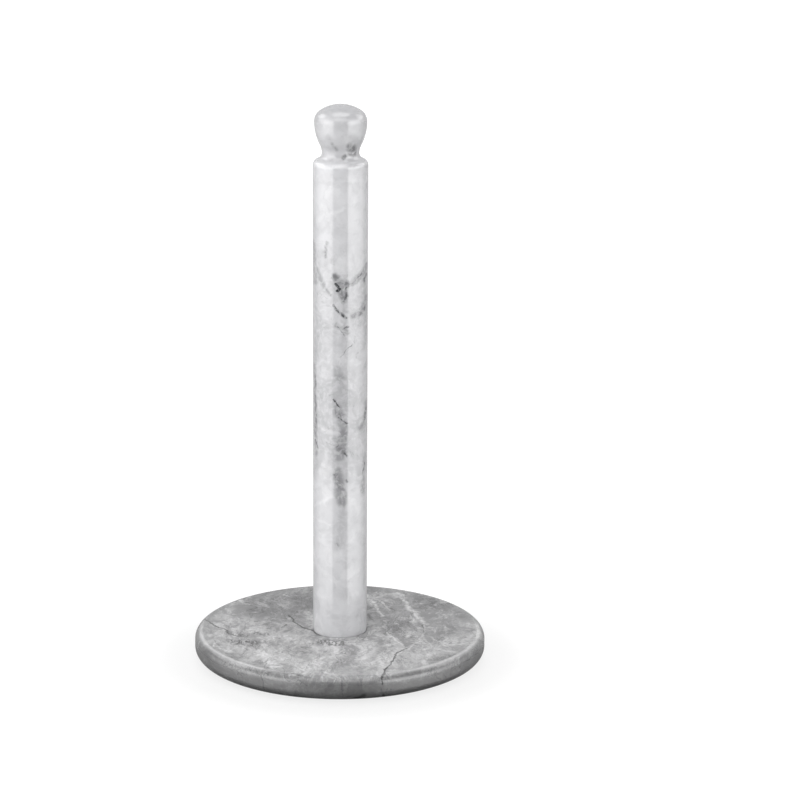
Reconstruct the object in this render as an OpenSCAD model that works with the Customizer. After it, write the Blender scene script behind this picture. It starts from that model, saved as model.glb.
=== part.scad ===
// Free-standing paper towel holder turned from marble: a round base, and a
// post with a knob, held together by a glued-in stud and a nut under the base.
// Millimetres, +Z up. The origin is on the table, under the post's axis.

/* [Overall] */
// Height from the table to the top of the knob
overall_h = 318; // [250:1:400]
// Diameter of the base
base_d = 165; // [120:1:220]
// Diameter of the post, which a roll's core slides over
post_d = 30.5; // [24:0.5:38]

/* [Base] */
// Thickness of the stone disc
base_t = 13.8; // [11:0.1:25]
// Radius of the disc's upper edge
base_top_round = 4.5; // [1:0.1:5]
// Radius of the disc's lower edge
base_bottom_round = 5.4; // [1:0.1:6]
// Depth of the shallow socket that the post stands in
socket_depth = 1.5; // [1:0.1:2.5]
// Gap between the post and the socket's wall
socket_gap = 0.2; // [0.1:0.05:0.5]

/* [Knob] */
// How much less the knob's radius is than the post's
knob_inset = 0.7; // [0.3:0.1:3]
// Height of the crown above the knob's widest point
crown_h = 9.4; // [8:0.1:14]
// Radius where the crown turns down into the side
brow_r = 7.2; // [3:0.1:7.5]
// How much less the neck's radius is than the post's
neck_inset = 4.95; // [3:0.05:6]
// Height of the knob's widest point above the neck
neck_drop = 17.4; // [12:0.1:24]
// Radius of the hollow under the knob
neck_hollow_r = 10; // [4:0.5:16]
// Radius of the hollow where the neck meets the shoulder
shoulder_hollow_r = 3.6; // [2.6:0.1:6]
// Radius of the shoulder's edge
shoulder_round = 3.6; // [2.6:0.1:6]
// Radius of the edge round the post's foot
foot_round = 1.2; // [1.1:0.1:1.5]

/* [Stud] */
// Outside diameter of the stud's thread
stud_d = 6; // [5:0.5:8]
// Pitch of the thread
pitch = 1; // [0.8:0.05:1.25]
// Depth of the thread, from crest to root
thread_depth = 0.54; // [0.4:0.01:0.7]
// Length of stud glued into the post
stud_embed = 40; // [25:1:60]
// Length of stud that stands out past the nut
stud_tail = 0.8; // [0.5:0.1:1]
// Thickness of the resin round the stud
resin_wall = 2; // [1:0.1:3]
// Depth of resin past the stud's end
resin_pocket = 2; // [1:0.5:5]
// Gap round the stud in the base's hole
stud_gap = 1; // [0.5:0.1:2]

/* [Nut and washers] */
// Thickness of the thin nut
nut_t = 3.2; // [2.5:0.1:5]
// Thickness of the nut between its thread and its flats
nut_wall = 2; // [1.6:0.1:3]
// Gap between the two threads, along the radius
thread_gap = 0.06; // [0.04:0.01:0.1]
// Thickness of the split spring washer
spring_t = 1.6; // [1.2:0.1:2]
// Width of the spring washer's ring
spring_w = 2.8; // [2:0.1:3.5]
// Width of the split across the spring washer
spring_slit = 1; // [0.5:0.1:2]
// Thickness of the steel washer
washer_t = 1.6; // [1:0.1:2]
// Width of the steel washer's ring
washer_w = 5.8; // [4:0.1:8]
// Thickness of the fibre washer between steel and stone
cushion_t = 0.8; // [0.5:0.1:1.5]
// Gap between the washers and the stud
washer_gap = 0.2; // [0.1:0.05:0.4]
// Gap between the washers' edge and the recess's wall
recess_gap = 3; // [1:0.5:5]
// How far the nut is sunk below the base's underside
recess_cover = 1; // [0.8:0.1:1.5]

/* [Gasket] */
// Thickness of the gasket under the post's foot
gasket_t = 0.5; // [0.3:0.1:0.9]
// How far the gasket's edge is inside the post's
gasket_inset = 1.2; // [1:0.1:3]

/* [Foot pads] */
// Number of pads round the base
pad_count = 4; // [3:1:8]
// Diameter of a pad
pad_d = 15; // [10:0.5:22]
// Thickness of a pad without its adhesive
pad_t = 1.6; // [1.5:0.1:5]
// Bevel round a pad's lower edge
pad_bevel = 0.4; // [0.1:0.1:0.6]
// Thickness of a pad's adhesive disc
tape_t = 0.2; // [0.1:0.05:0.4]
// How far the adhesive's edge is inside the pad's
tape_inset = 0.3; // [0.1:0.1:1]
// Distance between the pads and the disc's rounded edge
pad_margin = 3; // [1:0.5:12]

/* [Hidden] */
$fn = 96;

// Heights, from the table up
base_z = pad_t + tape_t;
base_top_z = base_z + base_t;
stack_t = cushion_t + washer_t + spring_t + nut_t;
recess_depth = stack_t + recess_cover;
recess_top_z = base_z + recess_depth;
cushion_z = recess_top_z - cushion_t;
washer_z = cushion_z - washer_t;
spring_z = washer_z - spring_t;
nut_z = spring_z - nut_t;
stud_z = nut_z - stud_tail;
socket_z = base_top_z - socket_depth;
post_z = socket_z + gasket_t;
stud_top_z = post_z + stud_embed;
post_hole_top_z = stud_top_z + resin_pocket;

// Radii of what passes through or fits round something else
base_r = base_d / 2;
post_r = post_d / 2;
knob_r = post_r - knob_inset;
neck_r = post_r - neck_inset;
stud_r = stud_d / 2;
thread_root_r = stud_r - thread_depth;
post_hole_r = stud_r + resin_wall;
base_hole_r = stud_r + stud_gap;
washer_hole_r = stud_r + washer_gap;
washer_r = washer_hole_r + washer_w;
recess_r = washer_r + recess_gap;
socket_r = post_r + socket_gap;
pad_r = pad_d / 2;
pad_ring_r = base_r - base_bottom_round - pad_margin - pad_r;

// The knob's outline is a chain of arcs that meet smoothly, named from the top
// down: crown, brow, side, neck hollow, shoulder hollow and shoulder edge.
brow_x = knob_r - brow_r;
crown_r = (pow(crown_h, 2) + pow(brow_x, 2) - pow(brow_r, 2)) / (2 * (crown_h - brow_r));
belly_z = overall_h - crown_h;
neck_z = belly_z - neck_drop;
side_reach = (pow(neck_drop, 2) + pow(knob_r - neck_r, 2)) / (2 * (knob_r - neck_r));
side_r = side_reach - neck_hollow_r;
shoulder_run = post_r - neck_r - shoulder_hollow_r - shoulder_round;
shoulder_z = neck_z - sqrt(pow(shoulder_hollow_r + shoulder_round, 2) - pow(shoulder_run, 2));

// Centres of the arcs, with heights from the neck up
crown_c = [0, overall_h - crown_r - neck_z];
brow_c = [brow_x, neck_drop];
side_c = [knob_r - side_r, neck_drop];
neck_c = [neck_r + neck_hollow_r, 0];
shoulder_hollow_c = [neck_r + shoulder_hollow_r, 0];
shoulder_c = [post_r - shoulder_round, shoulder_z - neck_z];

stone_grey = "#9b9b9d";
stone_white = "#d9d9db";
zinc = "#b9bcc0";
resin_amber = "#c8b48a";
gasket_clear = "#e4e4e2";
fibre_red = "#8c4a3a";
pad_black = "#2b2b2c";
tape_white = "#ecebe6";

// Point at distance r from c, towards point p
function towards(c, p, r) = c + r * (p - c) / norm(p - c);

// Area between the chord from p to q and the arc of that circle beyond it
module bow(p, q, c, r) {
    middle = (p + q) / 2;
    out = 2 * r * (middle - c) / norm(middle - c);
    intersection() {
        translate(c) circle(r);
        polygon([p, q, q + out, p + out]);
    }
}

// Slice of a half section, from the axis out to an arc that rises from p to q
module bulging_slice(p, q, c, r) {
    polygon([[0, p[1]], p, q, [0, q[1]]]);
    bow(p, q, c, r);
}

module hollow_slice(p, q, c, r) {
    difference() {
        polygon([[0, p[1]], p, q, [0, q[1]]]);
        translate(c) circle(r);
    }
}

// Half section of a round bar with a rounded lower edge, from z = 0 up
module bar_section(r, h, bottom_round) {
    bottom = [r - bottom_round, 0];
    side = [r, bottom_round];
    polygon([[0, 0], bottom, side, [r, h], [0, h]]);
    bow(bottom, side, [r - bottom_round, bottom_round], bottom_round);
}

module ring(outer_r, inner_r, z, t) {
    translate([0, 0, z]) difference() {
        cylinder(r = outer_r, h = t);
        translate([0, 0, -1]) cylinder(r = inner_r, h = t + 2);
    }
}

module base() {
    color(stone_grey) difference() {
        rotate_extrude() intersection() {
            translate([0, base_z]) bar_section(base_r, base_t, base_bottom_round);
            translate([0, base_top_z]) mirror([0, 1]) bar_section(base_r, base_t, base_top_round);
        }
        translate([0, 0, base_z - 1]) cylinder(r = recess_r, h = recess_depth + 1);
        translate([0, 0, base_z]) cylinder(r = base_hole_r, h = base_t);
        translate([0, 0, socket_z]) cylinder(r = socket_r, h = socket_depth + 1);
    }
}

// Half section of the knob and the post's shoulder, with z = 0 at the neck
module knob_section() {
    shoulder_low = [post_r, shoulder_c[1]];
    shoulder_high = towards(shoulder_c, shoulder_hollow_c, shoulder_round);
    neck = [neck_r, 0];
    side_low = towards(side_c, neck_c, side_r);
    belly = [knob_r, neck_drop];
    brow_high = brow_c + brow_r * (brow_c - crown_c) / norm(brow_c - crown_c);
    top = [0, overall_h - neck_z];
    bulging_slice(shoulder_low, shoulder_high, shoulder_c, shoulder_round);
    hollow_slice(shoulder_high, neck, shoulder_hollow_c, shoulder_hollow_r);
    hollow_slice(neck, side_low, neck_c, neck_hollow_r);
    bulging_slice(side_low, belly, side_c, side_r);
    bulging_slice(belly, brow_high, brow_c, brow_r);
    bulging_slice(brow_high, top, crown_c, crown_r);
}

module post_section() {
    translate([0, post_z]) bar_section(post_r, shoulder_z - post_z, foot_round);
    translate([0, neck_z]) knob_section();
}

module post() {
    color(stone_white) difference() {
        rotate_extrude() post_section();
        translate([0, 0, post_z - 1]) cylinder(r = post_hole_r, h = post_hole_top_z - post_z + 1);
    }
}

// Half section of a rod with ridges a pitch apart, which stand for its thread.
// The ridges are counted up from the stud's lower end, so that they mesh.
module thread_section(z, length, grow) {
    root = thread_root_r + grow;
    crest = stud_r + grow;
    first = floor((z - stud_z) / pitch);
    last = ceil((z + length - stud_z) / pitch) - 1;
    ridges = [
        for (i = [first : last], step = [[root, 1/8], [crest, 7/16], [crest, 9/16], [root, 7/8]])
            [step[0], stud_z + (i + step[1]) * pitch]
    ];
    low = stud_z + first * pitch;
    high = stud_z + (last + 1) * pitch;
    intersection() {
        polygon(concat([[0, low], [root, low]], ridges, [[root, high], [0, high]]));
        translate([0, z]) square([crest + 1, length]);
    }
}

module threaded_stud() {
    length = stud_top_z - stud_z;
    end_bevel = 1.5 * thread_depth;
    end_r = stud_r - end_bevel;
    color(zinc) rotate_extrude() intersection() {
        thread_section(stud_z, length, 0);
        translate([0, stud_z]) polygon([
            [0, 0], [end_r, 0], [stud_r, end_bevel],
            [stud_r, length - end_bevel], [end_r, length], [0, length]
        ]);
    }
}

module stud_resin() {
    color(resin_amber) difference() {
        translate([0, 0, post_z]) cylinder(r = post_hole_r, h = post_hole_top_z - post_z);
        translate([0, 0, post_z - 1]) cylinder(r = stud_r, h = stud_embed + 1);
    }
}

module foot_gasket() {
    color(gasket_clear) ring(post_r - gasket_inset, base_hole_r, socket_z, gasket_t);
}

module cushion_washer() {
    color(fibre_red) ring(washer_r, washer_hole_r, cushion_z, cushion_t);
}

module flat_washer() {
    color(zinc) ring(washer_r, washer_hole_r, washer_z, washer_t);
}

module spring_washer() {
    color(zinc) difference() {
        ring(washer_hole_r + spring_w, washer_hole_r, spring_z, spring_t);
        translate([washer_hole_r + spring_w / 2, 0, spring_z + spring_t / 2])
            rotate([30, 0, 0]) cube([spring_w * 2, spring_slit, spring_t * 3], center = true);
    }
}

module jam_nut() {
    across_flats = 2 * (stud_r + nut_wall);
    across_corners = across_flats / cos(30);
    corner_cut = (across_corners - across_flats) / 2 * tan(30);
    color(zinc) difference() {
        translate([0, 0, nut_z]) intersection() {
            cylinder(d = across_corners, h = nut_t, $fn = 6);
            rotate_extrude() polygon([
                [0, 0], [across_flats / 2, 0], [across_corners / 2, corner_cut],
                [across_corners / 2, nut_t - corner_cut], [across_flats / 2, nut_t], [0, nut_t]
            ]);
        }
        rotate_extrude() thread_section(nut_z - 1, nut_t + 2, thread_gap);
    }
}

// Puts its children at pad i's place
module at_pad(i) {
    rotate([0, 0, 360 / pad_count * (i - 0.5)]) translate([pad_ring_r, 0, 0]) children();
}

module foot_pad(i) {
    color(pad_black) at_pad(i) rotate_extrude()
        polygon([[0, 0], [pad_r - pad_bevel, 0], [pad_r, pad_bevel], [pad_r, pad_t], [0, pad_t]]);
}

module pad_tape(i) {
    color(tape_white) at_pad(i) translate([0, 0, pad_t]) cylinder(r = pad_r - tape_inset, h = tape_t);
}

base();
post();
threaded_stud();
stud_resin();
foot_gasket();
cushion_washer();
flat_washer();
spring_washer();
jam_nut();
for (i = [1 : pad_count]) {
    foot_pad(i);
    pad_tape(i);
}
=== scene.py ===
import math

import bmesh
import bpy
from mathutils import Matrix, Vector


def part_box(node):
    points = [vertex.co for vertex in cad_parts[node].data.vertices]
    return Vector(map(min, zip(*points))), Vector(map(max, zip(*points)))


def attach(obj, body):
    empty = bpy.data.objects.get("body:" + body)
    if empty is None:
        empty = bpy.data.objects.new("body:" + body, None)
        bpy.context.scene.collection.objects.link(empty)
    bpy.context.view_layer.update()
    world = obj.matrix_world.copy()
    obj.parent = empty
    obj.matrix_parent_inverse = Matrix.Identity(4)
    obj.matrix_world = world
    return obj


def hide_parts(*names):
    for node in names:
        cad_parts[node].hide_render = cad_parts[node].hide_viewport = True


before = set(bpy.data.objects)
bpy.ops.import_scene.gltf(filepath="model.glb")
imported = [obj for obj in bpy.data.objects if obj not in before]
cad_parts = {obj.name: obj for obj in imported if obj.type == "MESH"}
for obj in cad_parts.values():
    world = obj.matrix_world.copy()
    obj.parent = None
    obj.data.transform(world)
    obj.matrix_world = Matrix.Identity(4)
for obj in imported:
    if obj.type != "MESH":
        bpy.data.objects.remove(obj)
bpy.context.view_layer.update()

# A marble paper towel holder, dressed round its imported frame. Shapes are in metres, with the
# axis of the post as the vertical axis and the table at height 0. Finishes work in millimetres.
MM = 0.001


# ---------------------------------------------------------------- sizes

base_low, base_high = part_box("base")
post_low, post_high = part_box("post")
stud_low, stud_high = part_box("threaded_stud")
resin_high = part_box("stud_resin")[1]
gasket_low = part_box("foot_gasket")[0]
cushion_low, cushion_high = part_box("cushion_washer")
washer_low, washer_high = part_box("flat_washer")
spring_low, spring_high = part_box("spring_washer")
nut_low, nut_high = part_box("jam_nut")

base_r = base_high.x
post_r = post_high.x
stud_r = stud_high.x
pitch = 1 * MM
thread_depth = 0.54 * MM
washer_hole_r = stud_r + 0.2 * MM

base_top_round = 4.5 * MM
base_bottom_round = 5.4 * MM
socket_r = post_r + 0.2 * MM
base_hole_r = stud_r + 1 * MM
recess_r = washer_high.x + 3 * MM

knob_r = post_r - 0.7 * MM
neck_r = post_r - 4.95 * MM
crown_h = 9.4 * MM
brow_r = 7.2 * MM
neck_drop = 17.4 * MM
neck_hollow_r = 10 * MM
shoulder_hollow_r = 3.6 * MM
shoulder_round = 3.6 * MM
foot_round = 1.2 * MM

# The same edges in millimetres, as the finishes need them.
rim_mm = base_r / MM
base_top_mm = base_high.z / MM
post_top_mm = post_high.z / MM


# ---------------------------------------------------------------- meshes

def arc(centre, r, start, end, steps):
    """Points along an arc between two angles in degrees, both ends included."""
    angles = [math.radians(start + (end - start) * i / steps) for i in range(steps + 1)]
    return [(centre[0] + r * math.cos(a), centre[1] + r * math.sin(a)) for a in angles]


def direction(start, end):
    """Angle in degrees from one point of a section to another."""
    return math.degrees(math.atan2(end[1] - start[1], end[0] - start[0]))


def without_repeats(points):
    """Drops each point that lies on the one before it."""
    kept = []
    for p in points:
        if not kept or math.dist(p, kept[-1]) > 1e-7:
            kept.append(p)
    return kept


def finish_mesh(name, mesh, crease=32):
    """Turns a bmesh into a smooth-shaded object that keeps its corners crisp."""
    bmesh.ops.recalc_face_normals(mesh, faces=mesh.faces)
    for face in mesh.faces:
        face.smooth = True
    for edge in mesh.edges:
        edge.smooth = edge.calc_face_angle(0) < math.radians(crease)
    data = bpy.data.meshes.new(name)
    mesh.to_mesh(data)
    mesh.free()
    piece = bpy.data.objects.new(name, data)
    bpy.context.scene.collection.objects.link(piece)
    return piece


def skin(mesh, rows, around, along):
    """Joins rows of vertices with quads, or triangles where a row is a single point."""
    n = max(len(row) for row in rows)
    pairs = list(zip(rows, rows[1:]))
    if along:
        pairs.append((rows[-1], rows[0]))
    for low, high in pairs:
        for i in range(n if around else n - 1):
            j = (i + 1) % n
            corners = [low[i % len(low)], low[j % len(low)],
                       high[j % len(high)], high[i % len(high)]]
            corners = [c for k, c in enumerate(corners) if c is not corners[k - 1]]
            if len(corners) > 2:
                mesh.faces.new(corners)


def lathe(name, outline, closed=False, segments=192):
    """Turns an outline of (radius, height) points round the vertical axis."""
    mesh = bmesh.new()
    rows = []
    for r, z in without_repeats(outline):
        if r < 1e-7:
            rows.append([mesh.verts.new((0, 0, z))])
            continue
        turn = [2 * math.pi * i / segments for i in range(segments)]
        rows.append([mesh.verts.new((r * math.cos(a), r * math.sin(a), z)) for a in turn])
    skin(mesh, rows, around=True, along=closed)
    return finish_mesh(name, mesh)


def rounded_ring(inner, outer, low, high, r, steps=5):
    """Closed outline of a ring whose four edges are rounded."""
    return (
        arc((inner + r, low + r), r, 180, 270, steps) + arc((outer - r, low + r), r, 270, 360, steps)
        + arc((outer - r, high - r), r, 0, 90, steps) + arc((inner + r, high - r), r, 90, 180, steps)
    )


def knob_outline():
    """Shoulder, neck and knob as one chain of arcs, from the post's side up to the top."""
    brow_x = knob_r - brow_r
    crown_r = (crown_h**2 + brow_x**2 - brow_r**2) / (2 * (crown_h - brow_r))
    belly_z = post_high.z - crown_h
    neck_z = belly_z - neck_drop
    side_reach = (neck_drop**2 + (knob_r - neck_r) ** 2) / (2 * (knob_r - neck_r))
    side_r = side_reach - neck_hollow_r
    run = post_r - neck_r - shoulder_hollow_r - shoulder_round
    shoulder_z = neck_z - math.sqrt((shoulder_hollow_r + shoulder_round) ** 2 - run**2)
    crown = (0, post_high.z - crown_r)
    brow = (brow_x, belly_z)
    side = (knob_r - side_r, belly_z)
    neck = (neck_r + neck_hollow_r, neck_z)
    hollow = (neck_r + shoulder_hollow_r, neck_z)
    shoulder = (post_r - shoulder_round, shoulder_z)
    return (
        arc(shoulder, shoulder_round, 0, direction(shoulder, hollow), 16)
        + arc(hollow, shoulder_hollow_r, direction(hollow, shoulder) + 360, 180, 16)
        + arc(neck, neck_hollow_r, 180, direction(neck, side), 16)
        + arc(side, side_r, direction(side, neck), 0, 28)
        + arc(brow, brow_r, 0, direction(crown, brow), 20)
        + arc(crown, crown_r, direction(crown, brow), 90, 20)[:-1]
        + [(0, post_high.z)]
    )


def post_outline():
    """The post's outside from foot to top, and the blind hole that the resin fills."""
    foot = (post_r - foot_round, post_low.z + foot_round)
    knob = knob_outline()
    shaft = [(post_r, foot[1] + (knob[0][1] - foot[1]) * i / 60) for i in range(1, 60)]
    return (
        [(0, resin_high.z), (resin_high.x, resin_high.z), (resin_high.x, post_low.z)]
        + arc(foot, foot_round, 270, 360, 6) + shaft + knob
    )


def base_outline():
    """The disc's closed outline: bolt hole, socket, top, rim, underside and the nut's recess."""
    top, bottom = base_high.z, base_low.z
    lip = 0.25 * MM
    flat = [(socket_r + (base_r - base_top_round - socket_r) * i / 24, top) for i in range(1, 24)]
    side = (top - base_top_round, bottom + base_bottom_round)
    wall = [(base_r, side[0] + (side[1] - side[0]) * i / 6) for i in range(1, 6)]
    under = [(base_r - base_bottom_round + (recess_r - base_r) * i / 24, bottom)
             for i in range(1, 22)]
    return (
        [(base_hole_r, cushion_high.z), (base_hole_r, gasket_low.z), (socket_r, gasket_low.z)]
        + arc((socket_r + lip, top - lip), lip, 180, 90, 4)
        + flat
        + arc((base_r - base_top_round, side[0]), base_top_round, 90, 0, 20)
        + wall
        + arc((base_r - base_bottom_round, side[1]), base_bottom_round, 0, -90, 24)
        + under
        + arc((recess_r + lip, bottom + lip), lip, 270, 180, 4)
        + [(recess_r, cushion_high.z)]
    )


def thread_height(turn):
    """Share of the thread's depth along one turn, from 0 at the root to 1 at the crest."""
    crest, flanks = 0.14, 0.58
    away = abs((turn % 1) - 0.5) * 2
    return min(1, max(0, (crest + flanks - away) / flanks))


def threaded_rod(name):
    """The stud, with one continuous helical thread and bevelled ends."""
    columns, rows_per_turn = 36, 10
    length = stud_high.z - stud_low.z
    bevel = 1.5 * thread_depth
    count = round(length / pitch * rows_per_turn)
    mesh = bmesh.new()
    rows = [[mesh.verts.new((0, 0, stud_low.z))]]
    for k in range(count + 1):
        up = length * k / count
        row = []
        for i in range(columns):
            a = 2 * math.pi * i / columns
            r = stud_r - thread_depth * (1 - thread_height(up / pitch - i / columns))
            r = min(r, stud_r - bevel + min(up, length - up))
            row.append(mesh.verts.new((r * math.cos(a), r * math.sin(a), stud_low.z + up)))
        rows.append(row)
    rows.append([mesh.verts.new((0, 0, stud_high.z))])
    skin(mesh, rows, around=True, along=False)
    return finish_mesh(name, mesh, crease=50)


def threaded_nut(name):
    """A thin hexagon nut: bevelled corners, countersunk faces and a helical bore."""
    columns, rows_per_turn = 72, 10
    half_flats = nut_high.y
    low, high = nut_low.z, nut_high.z
    sink = 0.35 * MM
    gap = 0.06 * MM
    face_r = half_flats * 0.97
    corner, corner_drop = 0.985, 0.86
    corner_gap = 0.05 * MM

    def side_r(a):
        return half_flats / math.cos((a - math.pi / 2 + math.pi / 6) % (math.pi / 3) - math.pi / 6)

    def bevel_drop(a):
        return (side_r(a) - half_flats) * math.tan(math.radians(30))

    def bore_r(a, z):
        turn = (z - stud_low.z) / pitch - a / (2 * math.pi)
        return stud_r + gap - thread_depth * (1 - thread_height(turn))

    levels = [low + sink + (high - low - 2 * sink) * k / 28 for k in range(29)]
    rings = [lambda a: (stud_r + gap, low)]
    rings += [lambda a, z=z: (bore_r(a, z), z) for z in levels]
    rings += [
        lambda a: (stud_r + gap, high),
        lambda a: (face_r, high),
        lambda a: (side_r(a) * corner, high - bevel_drop(a) * corner_drop),
        lambda a: (side_r(a), high - bevel_drop(a) - corner_gap),
        lambda a: (side_r(a), (low + high) / 2),
        lambda a: (side_r(a), low + bevel_drop(a) + corner_gap),
        lambda a: (side_r(a) * corner, low + bevel_drop(a) * corner_drop),
        lambda a: (face_r, low),
    ]
    mesh = bmesh.new()
    rows = []
    for ring in rings:
        row = []
        for i in range(columns):
            a = 2 * math.pi * i / columns
            r, z = ring(a)
            row.append(mesh.verts.new((r * math.cos(a), r * math.sin(a), z)))
        rows.append(row)
    skin(mesh, rows, around=True, along=True)
    return finish_mesh(name, mesh, crease=24)


def split_washer(name):
    """The spring washer: a ring of rounded wire, cut through on a slant."""
    steps = 96
    slit = 1 * MM
    slant = math.tan(math.radians(30))
    wire_round = 0.18 * MM
    middle = (washer_hole_r + spring_high.x) / 2
    mid_z = (spring_low.z + spring_high.z) / 2
    section = rounded_ring(washer_hole_r, spring_high.x, spring_low.z, spring_high.z, wire_round, 4)
    section = without_repeats(section)
    mesh = bmesh.new()
    rows = []
    for k in range(steps + 1):
        row = []
        for r, z in section:
            lean = (z - mid_z) * slant / middle
            half = slit / (2 * middle)
            a = half + (2 * math.pi - 2 * half) * k / steps - lean
            row.append(mesh.verts.new((r * math.cos(a), r * math.sin(a), z)))
        rows.append(row)
    skin(mesh, rows, around=True, along=False)
    mesh.faces.new(rows[0])
    mesh.faces.new(list(reversed(rows[-1])))
    return finish_mesh(name, mesh)


def disc_at(name, node, edge_r, dish=0.0):
    """A round pad in a node's place, with a soft lower edge and a shallow dish underneath."""
    low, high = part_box(node)
    centre = Vector(((low.x + high.x) / 2, (low.y + high.y) / 2, 0))
    r = (high.x - low.x) / 2
    dish_reach, flat_from = 0.86, 0.88
    shares = (0.2, 0.4, 0.6, 0.75, 0.83)
    bottom = [(r * s, low.z + dish * (1 - (s / dish_reach) ** 4)) for s in shares]
    outline = (
        [(0, low.z + dish)] + bottom + [(r * flat_from, low.z)]
        + arc((r - edge_r, low.z + edge_r), edge_r, 270, 360, 6)
        + arc((r - edge_r / 4, high.z - edge_r / 4), edge_r / 4, 0, 90, 3)
        + [(r * 0.5, high.z), (0, high.z)]
    )
    piece = lathe(name, outline, segments=96)
    piece.data.transform(Matrix.Translation(centre))
    return piece


# ---------------------------------------------------------------- node helpers

def feed(tree, made, inputs):
    """Links each input to a socket, or sets it to a value."""
    for key, value in inputs.items():
        if isinstance(value, bpy.types.NodeSocket):
            tree.links.new(value, made.inputs[key])
        else:
            made.inputs[key].default_value = value


def node(tree, kind, inputs=None, **settings):
    """Adds a shader node, sets its options and feeds its inputs."""
    made = tree.nodes.new(kind)
    for key, value in settings.items():
        setattr(made, key, value)
    feed(tree, made, inputs or {})
    return made


def use(tree, group, inputs):
    """Places a node group and gives back its outputs."""
    made = tree.nodes.new("ShaderNodeGroup")
    made.node_tree = group
    feed(tree, made, inputs)
    return made.outputs


def maths(tree, operation, a, b=0.0):
    """One sum on two numbers."""
    return node(tree, "ShaderNodeMath", {0: a, 1: b}, operation=operation).outputs[0]


def vector_maths(tree, operation, a, b=(0, 0, 0), out=0):
    """One sum on two vectors. Output 1 is the one that gives a number."""
    return node(tree, "ShaderNodeVectorMath", {0: a, 1: b}, operation=operation).outputs[out]


def scaled(tree, vector, factor):
    """A vector made longer or shorter."""
    made = node(tree, "ShaderNodeVectorMath", {0: vector, "Scale": factor}, operation="SCALE")
    return made.outputs[0]


def ramp(tree, value, low, high, to_low=0.0, to_high=1.0, curve="SMOOTHSTEP"):
    """Goes from to_low to to_high as the value goes from low to high, and stays level past both."""
    inputs = {"Value": value, "From Min": low, "From Max": high, "To Min": to_low, "To Max": to_high}
    made = node(tree, "ShaderNodeMapRange", inputs,
                interpolation_type=curve, clamp=curve == "LINEAR")
    return made.outputs[0]


def blend(tree, mask, a, b, mode="MIX"):
    """Mixes two colours by a mask."""
    inputs = {0: mask, 6: a, 7: b}
    made = node(tree, "ShaderNodeMix", inputs, data_type="RGBA", blend_type=mode)
    return made.outputs[2]


def new_group(name, inputs, outputs):
    """Starts a shader node group. Sockets are given as (name, type, starting value)."""
    tree = bpy.data.node_groups.new(name, "ShaderNodeTree")
    for label, kind, value in inputs:
        socket = tree.interface.new_socket(label, in_out="INPUT", socket_type=kind)
        if value is not None:
            socket.default_value = value
    for label, kind in outputs:
        tree.interface.new_socket(label, in_out="OUTPUT", socket_type=kind)
    given = tree.nodes.new("NodeGroupInput").outputs
    return tree, given, tree.nodes.new("NodeGroupOutput").inputs


FLOAT = "NodeSocketFloat"
VECTOR = "NodeSocketVector"


# ---------------------------------------------------------------- shared effects

def make_clouds():
    """Soft patches: noise of a given patch size in millimetres, turned into a mask."""
    tree, given, out = new_group("clouds", [
        ("Place", VECTOR, None), ("Patch Size", FLOAT, 10.0), ("Detail", FLOAT, 4.0),
        ("Roughness", FLOAT, 0.55), ("Low", FLOAT, 0.4), ("High", FLOAT, 0.6), ("Shift", FLOAT, 0.0),
    ], [("Mask", FLOAT)])
    shift = node(tree, "ShaderNodeCombineXYZ", {axis: given["Shift"] for axis in range(3)}).outputs[0]
    shifted = vector_maths(tree, "ADD", given["Place"], shift)
    noise = node(tree, "ShaderNodeTexNoise", {
        "Vector": shifted, "Scale": maths(tree, "DIVIDE", 1.0, given["Patch Size"]),
        "Detail": given["Detail"], "Roughness": given["Roughness"],
    })
    tree.links.new(ramp(tree, noise.outputs["Fac"], given["Low"], given["High"]), out["Mask"])
    return tree


def make_wobble():
    """Pushes a place about by noise, so that straight lines turn ragged."""
    tree, given, out = new_group("wobble", [
        ("Place", VECTOR, None), ("Source", VECTOR, None),
        ("Size", FLOAT, 5.0), ("Reach", FLOAT, 1.0),
    ], [("Place", VECTOR)])
    noise = node(tree, "ShaderNodeTexNoise", {
        "Vector": given["Source"], "Scale": maths(tree, "DIVIDE", 1.0, given["Size"]),
        "Detail": 3.0,
    })
    centred = vector_maths(tree, "SUBTRACT", noise.outputs["Color"], (0.5, 0.5, 0.5))
    push = scaled(tree, centred, maths(tree, "MULTIPLY", given["Reach"], 2.0))
    tree.links.new(vector_maths(tree, "ADD", given["Place"], push), out["Place"])
    return tree


def make_streak():
    """One streak between two places: full strength within its core, fading out to its width."""
    tree, given, out = new_group("streak", [
        ("Place", VECTOR, None), ("From", VECTOR, None), ("To", VECTOR, None),
        ("Width", FLOAT, 1.0), ("Core", FLOAT, 0.2), ("Strength", FLOAT, 1.0),
    ], [("Mask", FLOAT)])
    along = vector_maths(tree, "SUBTRACT", given["To"], given["From"])
    to_place = vector_maths(tree, "SUBTRACT", given["Place"], given["From"])
    dot = vector_maths(tree, "DOT_PRODUCT", to_place, along, out=1)
    length = vector_maths(tree, "DOT_PRODUCT", along, along, out=1)
    share = maths(tree, "DIVIDE", dot, maths(tree, "MAXIMUM", length, 1e-6))
    share = maths(tree, "MINIMUM", maths(tree, "MAXIMUM", share, 0.0), 1.0)
    nearest = scaled(tree, along, share)
    gap = vector_maths(tree, "DISTANCE", to_place, nearest, out=1)
    core = maths(tree, "MULTIPLY", given["Width"], given["Core"])
    tree.links.new(ramp(tree, gap, core, given["Width"], given["Strength"], 0.0), out["Mask"])
    return tree


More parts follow.
